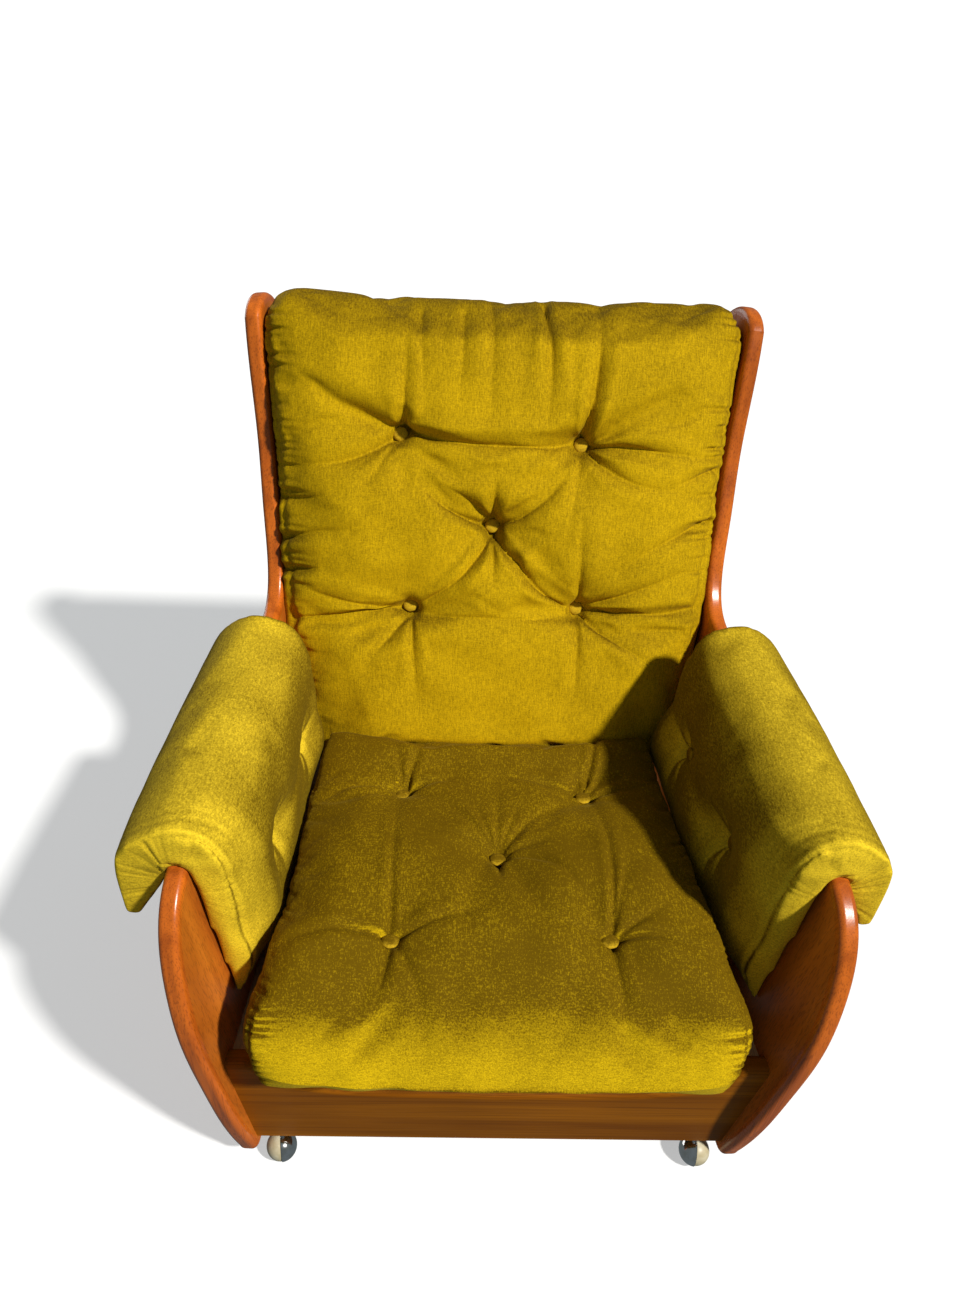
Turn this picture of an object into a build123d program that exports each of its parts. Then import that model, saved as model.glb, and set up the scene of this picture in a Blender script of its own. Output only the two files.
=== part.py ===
from build123d import *
from math import atan, cos, degrees, radians, sin, sqrt, tan
import os

os.makedirs("parts", exist_ok=True)

# Wooden armchair: two shaped side panels joined by rails, webbed seat and back,
# loose buttoned cushions, padded saddles over the arms, hooded ball castors.
# Millimetres, +Z up, front towards -Y. Built with y = 0 on the front rail's face,
# then moved so that the origin is the middle of the box on the floor.

# side panels: inner face leans out going up and toes in towards the rear
PANEL_HALF_SPAN = 318.8
PANEL_SPAN_Z = 120.0
PANEL_SPLAY = 6.6
PANEL_TOE_IN = 5.1
PANEL_THICK = 24.0
PANEL_BASE_Z = 31.0
LIP_WIDTH = 12.0
LIP_ROUND = 7.5
ARM_TOP_Z = 516.0

# rails
RAIL_THICK = 25.0
RAIL_BOTTOM_Z = 54.0
RAIL_SHOULDER_Z = 244.0
RAIL_SCOOP_Z = 172.0
RAIL_BULLNOSE = 9.0
REAR_RAIL_Y = 612.0
REAR_RAIL_TOP_Z = 196.0
SEAT_RAIL_WIDTH = 30.0
SEAT_RAIL_DEPTH = 52.0
BLOCK_LEG = 58.0
BLOCK_BOTTOM_Z = 72.0
BLOCK_TOP_Z = 132.0
SCREW_R = 2.5
SCREW_HEAD_R = 4.5
SCREW_HEAD_T = 3.0

# seat deck and webbing
DECK_FRONT_Z = 229.0
DECK_SLOPE = 0.055
STRAP_WIDTH = 52.0
STRAP_THICK = 3.0
SEAT_STRAPS = 6
CLIP_LENGTH = 12.0
CLIP_THICK = 1.4

# seat cushion
GAP = 0.4
SEAT_HALF_FRONT = 293.0
SEAT_TUFT = (221.0, 361.0)
SEAT_TUFT_TILT = 9.2
SEAT_TUFT_X = 134.0
SEAT_TUFT_Y = 133.0
SEAT_ROUND = 38.0
SEAT_CORNER = 60.0

# back cushion and back frame, on a plane leaning back
BACK_FOOT = (471.0, 342.0)
BACK_RAKE = 24.3
BACK_THICK = 116.0
BACK_LOW = -62.0
BACK_HIGH = 629.0
BACK_TUFT_UP = 298.0
BACK_TUFT_X = 126.0
BACK_TUFT_Y = 121.0
BACK_TUFT_DEEP = 22.0
BACK_ROUND = 38.0
BACK_RAIL_THICK = 22.0
BACK_STRAPS = 5
BACK_STRAP_PITCH = 104.0

# arm saddles
SADDLE_FRONT_Y = 83.0
SADDLE_REAR_Y = 478.0
SADDLE_BUTTONS = ((214.0, 416.0), (380.0, 404.0))
SADDLE_TUFT_W = -34.0

# buttons
BUTTON_R = 11.0
BUTTON_T = 6.0
POCKET_R = 13.0

# castors
BALL_R = 20.0
HOOD_R = 21.0
HOOD_WALL = 1.0
HOOD_LIFT = 2.2
SPLIT = 0.35
NECK_R = 5.5
CASTOR_TRAIL = 10.0
STEM_R = 4.0
SLEEVE_R = 6.0
AXLE_R = 3.0
AXLE_REACH = 17.0
RUN_CLEAR = 0.05
FLANGE_R = 11.0
FLANGE_T = 2.4
FRONT_CASTOR_X = 283.5
REAR_CASTOR_X = 225.0
CASTOR_TURN = -8.0

SPLAY = tan(radians(PANEL_SPLAY))
TOE = tan(radians(PANEL_TOE_IN))
RISE = sqrt((1 + TOE**2) / (1 + TOE**2 + SPLAY**2))

SIDE = Plane(
    origin=(PANEL_HALF_SPAN - PANEL_SPAN_Z * SPLAY, 0, 0),
    x_dir=(-TOE, 1, 0),
    z_dir=(1, TOE, -SPLAY),
)
BACK = Plane(
    origin=(0, BACK_FOOT[0], BACK_FOOT[1]),
    x_dir=(1, 0, 0),
    z_dir=(0, -cos(radians(BACK_RAKE)), sin(radians(BACK_RAKE))),
)
FAR = 1200.0
pieces = {}


def inner_x(y, z):
    """Half width between the panels' inner faces."""
    return PANEL_HALF_SPAN + (z - PANEL_SPAN_Z) * SPLAY - y * TOE


def on_side(y, z):
    """A point of the right panel's inner face, in that face's own plane."""
    p = SIDE.to_local_coords(Vector(inner_x(y, z), y, z))
    return (p.X, p.Y)


def deck_z(y):
    return DECK_FRONT_Z - DECK_SLOPE * (y - RAIL_THICK)


def deck_place(y):
    """A place on the sloping seat deck, x across the chair."""
    return Pos(0, y, deck_z(y)) * Rot(-degrees(atan(DECK_SLOPE)), 0, 0)


def side_curve(points, **options):
    return Spline([on_side(y, z) for y, z in points], **options)


def side_line(a, b):
    return Line(on_side(*a), on_side(*b))


def side_prism(points, low, high):
    """A polygon on the right panel's plane, thick from low to high along its outward normal."""
    face = make_face(Polyline([on_side(y, z) for y, z in points], close=True))
    return SIDE * Pos(0, 0, low) * extrude(face, amount=high - low)


def outside():
    """Everything beyond the two panels' inner faces, for trimming rails to length."""
    reach = [(-300, -300), (FAR, -300), (FAR, FAR), (-300, FAR)]
    right = side_prism(reach, 0, 400)
    return [right, mirror(right, about=Plane.YZ)]


def both_sides(name, solid):
    pieces["right_" + name] = solid
    pieces["left_" + name] = mirror(solid, about=Plane.YZ)


# ---------------------------------------------------------------- side panels
def panel_outline():
    """The panel's edge as (y, z) runs: up the front, along the arm, over the ear, down and back."""
    toe = (-14, 52)
    arm_front = (92, ARM_TOP_Z)
    arm_rear = (528, ARM_TOP_Z)
    ear_front = (747, 872)
    ear_rear = (850, 846)
    heel = (676, 56)
    sole_rear = (652, PANEL_BASE_Z)
    sole_front = (8, PANEL_BASE_Z)
    return [
        [toe, (-26, 150), (-28, 235), (-24, 345), (-8, 414), (30, 486), arm_front],
        [arm_front, arm_rear],
        [arm_rear, (570, 526), (640, 630), (684, 715), (720, 812), ear_front],
        [ear_front, (776, 886), (815, 880), ear_rear],
        [ear_rear, (806, 722), (752, 600), (688, 450), (650, 320), (646, 180), heel],
        [heel, (673, 38), sole_rear],
        [sole_rear, (330, PANEL_BASE_Z + 12), sole_front],
        [sole_front, (-9, 37), toe],
    ]


def inset(runs, amount):
    """The same runs with every point moved inwards, square to the edge."""
    loop = [p for run in runs for p in run[:-1]]
    moved = {}
    for i, point in enumerate(loop):
        before, after = loop[i - 1], loop[(i + 1) % len(loop)]
        dy, dz = after[0] - before[0], after[1] - before[1]
        length = sqrt(dy**2 + dz**2)
        moved[point] = (point[0] + amount * dz / length, point[1] - amount * dy / length)
    return [[moved[p] for p in run] for run in runs]


def panel_face(runs):
    edges = [side_curve(run) if len(run) > 2 else side_line(*run) for run in runs]
    return make_face(Curve() + edges)


def make_side_panels():
    outer = panel_face(panel_outline())
    inner = panel_face(inset(panel_outline(), LIP_WIDTH))
    slab = extrude(outer, amount=PANEL_THICK)
    flat_faces = slab.faces().filter_by(Axis.Z)
    slab = fillet(flat_faces.edges(), LIP_ROUND)
    core = extrude(inner, amount=PANEL_THICK)
    ring = SIDE * (slab - core)
    both_sides("side_panel", SIDE * core)
    zones = {
        "base_lipping": [(-60, -20), (740, -20), (740, 56), (-60, 56)],
        "front_lipping": [(-60, 56), (96, 56), (96, 560), (-60, 560)],
        "arm_lipping": [(96, 440), (508, 440), (508, 560), (96, 560)],
        "ear_lipping": [
            (508, 440), (508, 600), (690, 930), (812, 930),
            (812, 862), (775, 800), (700, 640), (620, 500), (560, 440),
        ],
        "rear_lipping": [
            (812, 930), (900, 930), (900, 56), (560, 56), (560, 440),
            (620, 500), (700, 640), (775, 800), (812, 862),
        ],
    }
    for name, zone in zones.items():
        both_sides(name, ring & side_prism(zone, -5, PANEL_THICK + 5))


# ---------------------------------------------------------------- rails
def make_front_rail(beyond):
    half = PANEL_HALF_SPAN + 30
    face = make_face(
        Polyline(
            (-half, RAIL_BOTTOM_Z), (-half, RAIL_SHOULDER_Z), (-300, RAIL_SHOULDER_Z),
            (-272, 198), (-190, 178), (0, RAIL_SCOOP_Z), (190, 178), (272, 198),
            (300, RAIL_SHOULDER_Z), (half, RAIL_SHOULDER_Z), (half, RAIL_BOTTOM_Z), close=True,
        )
    )
    for x, radius in ((300, 22), (272, 40), (190, 300)):
        corners = [v for v in face.vertices() if abs(abs(v.X) - x) < 1]
        face = fillet(corners, radius)
    rail = Plane.XZ * extrude(face, amount=-RAIL_THICK)
    top = [
        e
        for e in rail.edges()
        if e.center().Z > RAIL_BOTTOM_Z + 60 and abs(e.center().X) < half - 1
        and e.length > RAIL_THICK + 1
    ]
    rail = fillet(top, RAIL_BULLNOSE)
    return rail - beyond


def make_rails():
    beyond = outside()
    front = make_front_rail(beyond)
    rear_y = REAR_RAIL_Y + RAIL_THICK / 2
    rear_height = REAR_RAIL_TOP_Z - RAIL_BOTTOM_Z
    rear = Pos(0, rear_y, RAIL_BOTTOM_Z + rear_height / 2) * Box(700, RAIL_THICK, rear_height)
    rear = rear - beyond
    between = Pos(0, (RAIL_THICK + REAR_RAIL_Y) / 2, 150) * Box(800, REAR_RAIL_Y - RAIL_THICK, 400)
    low_y, high_y = -20, REAR_RAIL_Y + 30
    outline = [
        (low_y, deck_z(low_y) + 20), (high_y, deck_z(high_y) + 20),
        (high_y, deck_z(high_y) - SEAT_RAIL_DEPTH), (low_y, deck_z(low_y) - SEAT_RAIL_DEPTH),
    ]
    above = deck_place(0) * Box(900, 2000, 200, align=(Align.CENTER, Align.CENTER, Align.MIN))
    rail = (side_prism(outline, -SEAT_RAIL_WIDTH, 0) & between) - above
    both_sides("seat_rail", rail)

    blocks, screws = [], []
    height = BLOCK_TOP_Z - BLOCK_BOTTOM_Z
    for wall_y, way in ((RAIL_THICK, 1), (REAR_RAIL_Y, -1)):
        edge = inner_x(wall_y, BLOCK_TOP_Z) + 20
        inside = inner_x(wall_y, BLOCK_BOTTOM_Z) - BLOCK_LEG
        triangle = make_face(
            Polyline(
                (inside, wall_y), (edge, wall_y), (edge, wall_y + way * (edge - inside)),
                close=True,
            )
        )
        block = Pos(0, 0, BLOCK_BOTTOM_Z) * extrude(triangle, amount=height) - beyond
        for z in (BLOCK_BOTTOM_Z + 15, BLOCK_TOP_Z - 15):
            seat = Pos(inside + 12, wall_y + way * 5, z) * Rot(-90 * way, 0, 0)
            head = seat * Cylinder(SCREW_HEAD_R, SCREW_HEAD_T, align=(Align.CENTER, Align.CENTER, Align.MIN))
            shank = seat * Cylinder(SCREW_R, 26, align=(Align.CENTER, Align.CENTER, Align.MAX))
            access = seat * Cylinder(SCREW_HEAD_R, 60, align=(Align.CENTER, Align.CENTER, Align.MIN))
            block = block - shank - access
            screw = head + shank
            if way > 0:
                front = front - shank - mirror(shank, about=Plane.YZ)
            else:
                rear = rear - shank - mirror(shank, about=Plane.YZ)
            screws += [screw, mirror(screw, about=Plane.YZ)]
        blocks += [block, mirror(block, about=Plane.YZ)]
    pieces["corner_blocks"] = Compound(blocks)
    pieces["corner_block_screws"] = Compound(screws)

    for x, y in castor_places():
        hole = Pos(x, y, RAIL_BOTTOM_Z) * Cylinder(SLEEVE_R, 80)
        front = front - hole
        rear = rear - hole
    pieces["front_rail"] = front
    pieces["rear_rail"] = rear

    back_rails = {"back_lower_rail": (-30, 46), "back_top_rail": (470, 540)}
    for name, (low, high) in back_rails.items():
        depth = BACK_THICK + STRAP_THICK + 2 * GAP
        rail = Box(760, high - low, BACK_RAIL_THICK, align=(Align.CENTER, Align.MIN, Align.MAX))
        rail = fillet(rail.edges().filter_by(Axis.X), 4)
        pieces[name] = BACK * Pos(0, low, -depth) * rail - beyond


# ---------------------------------------------------------------- webbing
def make_webbing():
    straps, clips = [], []
    first, last = 62.0, REAR_RAIL_Y - 40
    for i in range(SEAT_STRAPS):
        y = first + (last - first) * i / (SEAT_STRAPS - 1)
        half = inner_x(y + STRAP_WIDTH / 2, deck_z(y)) - 8
        seat = deck_place(y)
        strap = Box(2 * half, STRAP_WIDTH, STRAP_THICK, align=(Align.CENTER, Align.CENTER, Align.MIN))
        straps.append(seat * strap)
        clip = Box(CLIP_LENGTH, STRAP_WIDTH, CLIP_THICK, align=(Align.MAX, Align.CENTER, Align.MIN))
        clip = seat * Pos(half, 0, STRAP_THICK) * clip
        clips += [clip, mirror(clip, about=Plane.YZ)]
    pieces["seat_webbing"] = Compound(straps)
    pieces["seat_webbing_clips"] = Compound(clips)

    straps, clips = [], []
    depth = BACK_THICK + STRAP_THICK + 2 * GAP
    for i in range(BACK_STRAPS):
        x = (i - (BACK_STRAPS - 1) / 2) * BACK_STRAP_PITCH
        strap = Box(STRAP_WIDTH, 534 + 24, STRAP_THICK, align=(Align.CENTER, Align.MIN, Align.MIN))
        straps.append(BACK * Pos(x, -24, -depth) * strap)
    pieces["back_webbing"] = Compound(straps)


# ---------------------------------------------------------------- cushions
def button_at(place):
    """A covered button: a low dome standing on its tuft."""
    disc = Cylinder(BUTTON_R, BUTTON_T, align=(Align.CENTER, Align.CENTER, Align.MIN))
    return place * fillet(disc.edges().sort_by(Axis.Z)[-1], BUTTON_T * 0.6)


def pocket_at(place):
    return place * Cylinder(POCKET_R, 90, align=(Align.CENTER, Align.CENTER, Align.MIN))


def tuft_places(centre, tilt_x, dx, dy):
    frame = Pos(*centre) * Rot(tilt_x, 0, 0)
    spots = [(0, 0), (dx, dy), (-dx, dy), (dx, -dy), (-dx, -dy)]
    return [frame * Pos(x, y, 0) for x, y in spots]


def make_seat_cushion():
    lift = STRAP_THICK + CLIP_THICK + GAP
    rake = tan(radians(BACK_RAKE))
    rear_low_z = deck_z(410) + lift
    rear_low_y = BACK_FOOT[0] - (BACK_FOOT[1] - rear_low_z) * rake - 2
    rear_top_z = 350.0
    rear_top_y = BACK_FOOT[0] - (BACK_FOOT[1] - rear_top_z) * rake - 2
    bottom = Line((rear_low_y, rear_low_z), (12, deck_z(12) + lift))
    nose = Spline([(12, deck_z(12) + lift), (-30, 252), (-46, 300), (-38, 366), (-4, 404)])
    crown = Spline([(-4, 404), (60, 413), (221, 386), (rear_top_y, rear_top_z)])
    rear = Line((rear_top_y, rear_top_z), (rear_low_y, rear_low_z))
    profile = make_face(Curve() + [bottom, nose, crown, rear])
    body = Plane.YZ * Pos(0, 0, -400) * extrude(profile, amount=800)
    ends = []
    for y, low, high in ((-60, 228, 424), (500, 200, 352)):
        view = Plane(origin=(0, y, (low + high) / 2), x_dir=(1, 0, 0), z_dir=(0, -1, 0))
        half = SEAT_HALF_FRONT - y * TOE
        ends.append(view * RectangleRounded(2 * half, high - low, SEAT_ROUND))
    body = body & loft(ends, ruled=True)
    plan = Pos(0, 220, 0) * RectangleRounded(2 * SEAT_HALF_FRONT + 8, 536, SEAT_CORNER)
    body = body & extrude(plan, amount=600)
    places = tuft_places((0, *SEAT_TUFT), -SEAT_TUFT_TILT, SEAT_TUFT_X, SEAT_TUFT_Y)
    for place in places:
        body = body - pocket_at(place)
    pieces["seat_cushion"] = body
    pieces["seat_buttons"] = Compound([button_at(p) for p in places])


def make_back_cushion():
    outline = make_face(
        Polyline(
            (250, BACK_LOW), (282, 70), (327, BACK_HIGH),
            (-327, BACK_HIGH), (-282, 70), (-250, BACK_LOW), close=True,
        )
    )
    outline = fillet(outline.vertices().sort_by(Axis.Y)[-2:], 45)
    body = extrude(outline, amount=-BACK_THICK)
    body = fillet(body.faces().filter_by(Axis.Z).edges(), BACK_ROUND)
    spots = [(0, 0), (1, 1), (-1, 1), (1, -1), (-1, -1)]
    places = [
        Pos(sx * BACK_TUFT_X, BACK_TUFT_UP + sy * BACK_TUFT_Y, -BACK_TUFT_DEEP) for sx, sy in spots
    ]
    for place in places:
        body = body - pocket_at(place)
    pieces["back_cushion"] = BACK * body
    pieces["back_buttons"] = BACK * Compound([button_at(p) for p in places])


def make_arm_saddles():
    top = (ARM_TOP_Z + GAP) / RISE
    inner_wall, outer_wall = -GAP, PANEL_THICK + GAP

    def up(z):
        return z / RISE

    inner_foot = Spline([(inner_wall, up(258)), (-13, up(276)), (-28, up(306)), (-35, up(345))])
    inner_side = Line((-35, up(345)), (-42, up(500)))
    roll = Spline(
        [
            (-42, up(500)), (-36, up(540)), (-19, up(565)), (3, up(572)),
            (27, up(567)), (50, up(551)), (66, up(525)), (75, up(488)), (78, up(440)),
        ]
    )
    outer_foot = Spline([(78, up(440)), (75, up(418)), (64, up(416))])
    slot = Polyline(
        (64, up(416)), (outer_wall + 2, up(500)), (outer_wall, top),
        (inner_wall, top), (inner_wall, up(258)),
    )
    section = make_face(Curve() + [inner_foot, inner_side, roll, outer_foot, slot])
    front = on_side(SADDLE_FRONT_Y, ARM_TOP_Z)[0]
    rear = on_side(SADDLE_REAR_Y, ARM_TOP_Z)[0]
    section_plane = Plane(origin=(rear, 0, 0), x_dir=(0, 0, 1), z_dir=(-1, 0, 0))
    saddle = section_plane * extrude(section, amount=rear - front)
    places = []
    for y, z in SADDLE_BUTTONS:
        a, b = on_side(y, z)
        places.append(Pos(a, b, SADDLE_TUFT_W) * Rot(180, 0, 0))
    for place in places:
        saddle = saddle - pocket_at(place)
    both_sides("arm_saddle", SIDE * saddle)
    both_sides("arm_buttons", SIDE * Compound([button_at(p) for p in places]))


# ---------------------------------------------------------------- castors
def castor_places():
    front_y = RAIL_THICK / 2
    rear_y = REAR_RAIL_Y + RAIL_THICK / 2
    return [
        (FRONT_CASTOR_X, front_y), (-FRONT_CASTOR_X, front_y),
        (REAR_CASTOR_X, rear_y), (-REAR_CASTOR_X, rear_y),
    ]


def castor_parts():
    """One right-hand castor about its stem axis, its ball trailing towards -Y."""
    standing = (Align.CENTER, Align.CENTER, Align.MIN)
    flange_z = RAIL_BOTTOM_Z - FLANGE_T
    sleeve_top = RAIL_BOTTOM_Z + 38
    plate = Pos(0, 0, flange_z) * Cylinder(FLANGE_R, FLANGE_T, align=standing)
    plate = plate + Pos(0, 0, flange_z) * Cylinder(SLEEVE_R, sleeve_top - flange_z, align=standing)
    plate = plate - Pos(0, 0, flange_z) * Cylinder(STEM_R + RUN_CLEAR, 80, align=standing)

    ball = Pos(0, -CASTOR_TRAIL, BALL_R) * Rot(0, 90, 0)
    wheel_side = Pos(0, 0, SPLIT) * Box(90, 90, 45, align=standing)
    hood_side = Pos(0, 0, -SPLIT) * Box(90, 90, 45, align=(Align.CENTER, Align.CENTER, Align.MAX))
    wheel = (Sphere(BALL_R) & wheel_side) - Cylinder(AXLE_R + RUN_CLEAR, 2 * AXLE_REACH + 0.6)
    hollow = Sphere(HOOD_R - HOOD_WALL)
    shell = (Sphere(HOOD_R) - hollow) & hood_side
    boss = Pos(0, 0, -HOOD_R + 0.6) * Cylinder(5, HOOD_R - 0.6 - SPLIT, align=standing)
    neck = Pos(0, 0, BALL_R) * Cylinder(NECK_R, flange_z - 0.25 - BALL_R, align=standing)
    stem = Pos(0, 0, BALL_R) * Cylinder(STEM_R, sleeve_top - 1 - BALL_R, align=standing)
    hub = Pos(0, 0, -HOOD_R + 3) * Cylinder(AXLE_R, 60, align=standing)
    hood = ball * (shell + boss) + ((neck + stem) - ball * Sphere(HOOD_R - HOOD_WALL / 2))
    hood = hood - ball * hub
    hood = hood - Box(120, 120, 2 * HOOD_LIFT)
    axle = ball * Pos(0, 0, -HOOD_R + 3) * Cylinder(AXLE_R, HOOD_R - 3 + AXLE_REACH, align=standing)
    return {"plate": plate, "hood": hood, "axle": axle, "wheel": ball * wheel}


def make_castors():
    parts = castor_parts()
    for end, (x, y) in (("front", castor_places()[0]), ("rear", castor_places()[2])):
        for name, solid in parts.items():
            placed = Pos(x, y, 0) * Rot(0, 0, CASTOR_TURN) * solid
            pieces[f"{end}_right_castor_{name}"] = placed
            pieces[f"{end}_left_castor_{name}"] = mirror(placed, about=Plane.YZ)


make_side_panels()
make_rails()
make_webbing()
make_seat_cushion()
make_back_cushion()
make_arm_saddles()
make_castors()

box = Compound([s for p in pieces.values() for s in p.solids()]).bounding_box()
shift = Pos(0, -(box.min.Y + box.max.Y) / 2, 0)
print("row box", box.size, "moved in y by", -(box.min.Y + box.max.Y) / 2)
for name, solid in pieces.items():
    export_step(shift * solid, f"parts/{name}.step")
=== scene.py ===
"""The wooden armchair: camera, materials, upholstery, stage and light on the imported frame."""
import math

import bmesh
import bpy
import numpy as np
from mathutils import Matrix, Vector


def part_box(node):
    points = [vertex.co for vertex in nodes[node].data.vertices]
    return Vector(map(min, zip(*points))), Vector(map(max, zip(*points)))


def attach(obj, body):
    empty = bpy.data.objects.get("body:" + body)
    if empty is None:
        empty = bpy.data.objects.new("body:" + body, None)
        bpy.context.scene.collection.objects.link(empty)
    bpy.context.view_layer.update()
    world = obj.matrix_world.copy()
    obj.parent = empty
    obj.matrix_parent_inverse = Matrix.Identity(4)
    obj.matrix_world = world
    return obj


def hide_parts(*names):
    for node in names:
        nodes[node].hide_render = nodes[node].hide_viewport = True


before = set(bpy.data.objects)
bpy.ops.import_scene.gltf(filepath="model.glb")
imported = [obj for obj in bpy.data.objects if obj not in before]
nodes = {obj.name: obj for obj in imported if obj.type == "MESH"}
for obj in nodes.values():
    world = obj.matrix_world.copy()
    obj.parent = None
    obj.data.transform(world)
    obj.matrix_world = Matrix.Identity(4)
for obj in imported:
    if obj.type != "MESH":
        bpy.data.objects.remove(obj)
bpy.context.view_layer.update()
scene = bpy.context.scene

# Chair coordinates in millimetres: x across, y back from the front rail's face, z up.
FRONT_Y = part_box("front_rail")[0].y


def at(x, y, z):
    """A place in chair millimetres, as the scene's metres."""
    return Vector((x / 1000, FRONT_Y + y / 1000, z / 1000))


# ------------------------------------------------------------------ camera, as calibrated from the photo
EYE = at(-92.2, -575.5, 1394.9)
PITCH, YAW, ROLL = math.radians(40.3), math.radians(1.6), math.radians(2.3)
FOCAL_PX, IMAGE_LONG = 975.6, 1307.0
SHIFT_PX = (37.0, 1.1)
SENSOR = 36.0


def make_camera():
    ahead = Vector((math.sin(YAW) * math.cos(PITCH), math.cos(YAW) * math.cos(PITCH), -math.sin(PITCH)))
    right = Vector((math.cos(YAW), -math.sin(YAW), 0))
    up = right.cross(ahead)
    across = math.cos(ROLL) * right + math.sin(ROLL) * up
    over = -math.sin(ROLL) * right + math.cos(ROLL) * up
    data = bpy.data.cameras.new("camera")
    data.sensor_fit = "AUTO"
    data.sensor_width = SENSOR
    data.lens = SENSOR * FOCAL_PX / IMAGE_LONG
    data.shift_x = SHIFT_PX[0] / IMAGE_LONG
    data.shift_y = -SHIFT_PX[1] / IMAGE_LONG
    data.clip_start, data.clip_end = 0.01, 60
    cam = bpy.data.objects.new("camera", data)
    cam.matrix_world = Matrix(
        (
            (across.x, over.x, -ahead.x, EYE.x),
            (across.y, over.y, -ahead.y, EYE.y),
            (across.z, over.z, -ahead.z, EYE.z),
            (0, 0, 0, 1),
        )
    )
    scene.collection.objects.link(cam)
    scene.camera = cam


make_camera()


# ------------------------------------------------------------------ materials
EVEN = (1, 1, 1)


def new_material(name):
    mat = bpy.data.materials.new(name)
    mat.use_nodes = True
    tree = mat.node_tree
    tree.nodes.clear()
    out = tree.nodes.new("ShaderNodeOutputMaterial")
    bsdf = tree.nodes.new("ShaderNodeBsdfPrincipled")
    tree.links.new(bsdf.outputs[0], out.inputs[0])
    return mat, tree, bsdf


def node(tree, kind, links=None, **values):
    """A shader node: links by input name, in_NAME for an input's value, anything else an attribute."""
    made = tree.nodes.new(kind)
    for key, value in values.items():
        if key.startswith("in_"):
            made.inputs[key[3:].replace("_", " ")].default_value = value
        else:
            setattr(made, key, value)
    for key, socket in (links or {}).items():
        tree.links.new(socket, made.inputs[key])
    return made


def scaled(tree, scale=EVEN):
    coord = node(tree, "ShaderNodeTexCoord")
    mapping = node(tree, "ShaderNodeMapping", {"Vector": coord.outputs["Object"]})
    mapping.inputs["Scale"].default_value = scale
    return mapping.outputs["Vector"]


def noise(tree, vector, scale, detail, rough, distort=0.0):
    made = node(tree, "ShaderNodeTexNoise", {"Vector": vector})
    made.inputs["Scale"].default_value = scale
    made.inputs["Detail"].default_value = detail
    made.inputs["Roughness"].default_value = rough
    made.inputs["Distortion"].default_value = distort
    return made.outputs["Fac"]


def ramp(tree, fac, stops):
    """A colour ramp through stops, each a place from 0 to 1 and a colour."""
    made = node(tree, "ShaderNodeValToRGB", {"Fac": fac})
    elements = made.color_ramp.elements
    while len(elements) < len(stops):
        elements.new(0.5)
    for element, (place, colour) in zip(elements, stops):
        element.position = place
        element.color = (*colour, 1)
    return made.outputs["Color"]


def math_node(tree, operation, *values):
    made = tree.nodes.new("ShaderNodeMath")
    made.operation = operation
    for i, value in enumerate(values):
        if isinstance(value, (int, float)):
            made.inputs[i].default_value = value
        else:
            tree.links.new(value, made.inputs[i])
    return made.outputs[0]


def centred(tree, source, share, middle):
    """source (0 to 1) times share, plus middle."""
    return math_node(tree, "MULTIPLY_ADD", source, share, middle)


def mix_colour(tree, fac, a, b, blend="MIX"):
    made = tree.nodes.new("ShaderNodeMix")
    made.data_type = "RGBA"
    made.blend_type = blend
    for socket, value in ((made.inputs[0], fac), (made.inputs[6], a), (made.inputs[7], b)):
        if isinstance(value, tuple):
            socket.default_value = (*value, 1)
        elif isinstance(value, (int, float)):
            socket.default_value = value
        else:
            tree.links.new(value, socket)
    return made.outputs[2]


def bump(tree, bsdf, height, strength, distance, normal=None):
    made = node(tree, "ShaderNodeBump", {"Height": height}, in_Strength=strength, in_Distance=distance)
    if normal is not None:
        tree.links.new(normal, made.inputs["Normal"])
    if bsdf is not None:
        tree.links.new(made.outputs[0], bsdf.inputs["Normal"])
    return made.outputs[0]


def velvet(name, streak, bright, dark, lit_side, low, high, ease="SMOOTHSTEP"):
    """Cut velvet with painted sheen and shade: painted bright where the surface faces lit_side, dark where
    it turns away.

    Streaks along and across the weave, fine painted sparkle and slow clouds break up the painted change.
    """
    mat, tree, bsdf = new_material(name)
    coord = node(tree, "ShaderNodeTexCoord")
    # Painted sheen and shade: the colour follows how far the normal turns toward lit_side.
    light_facing = node(tree, "ShaderNodeVectorMath", {0: coord.outputs["Normal"]}, operation="DOT_PRODUCT")
    light_facing.inputs[1].default_value = lit_side
    painted_sheen = node(tree, "ShaderNodeMapRange", {"Value": light_facing.outputs["Value"]}, interpolation_type=ease)
    painted_sheen.inputs["From Min"].default_value = low
    painted_sheen.inputs["From Max"].default_value = high
    painted_sheen.inputs["To Max"].default_value = 0.84
    fine = noise(tree, scaled(tree), 520, 3, 0.7)
    weave = noise(tree, scaled(tree, streak), 15, 4, 0.6)
    cross = noise(tree, scaled(tree, (7, 42, 42)), 15, 3, 0.6)
    cloud = noise(tree, scaled(tree), 9, 3, 0.5)
    total = painted_sheen.outputs["Result"]
    for source, share in ((weave, 0.95), (cross, 0.5), (fine, 0.95), (cloud, 0.38)):
        total = math_node(tree, "ADD", total, centred(tree, source, share, -share / 2))
    middle = tuple(0.42 * a + 0.58 * b for a, b in zip(bright, dark))
    colour = ramp(tree, total, [(0.0, dark), (0.5, middle), (1.0, bright)])
    tree.links.new(colour, bsdf.inputs["Base Color"])
    bsdf.inputs["Roughness"].default_value = 0.82
    bsdf.inputs["Specular IOR Level"].default_value = 0.05
    bsdf.inputs["Sheen Weight"].default_value = 0.12
    bsdf.inputs["Sheen Roughness"].default_value = 0.35
    bsdf.inputs["Sheen Tint"].default_value = (1.0, 0.74, 0.12, 1)
    first = bump(tree, None, weave, 0.25, 0.0012)
    bump(tree, bsdf, fine, 0.5, 0.0007, first)
    return mat


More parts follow.
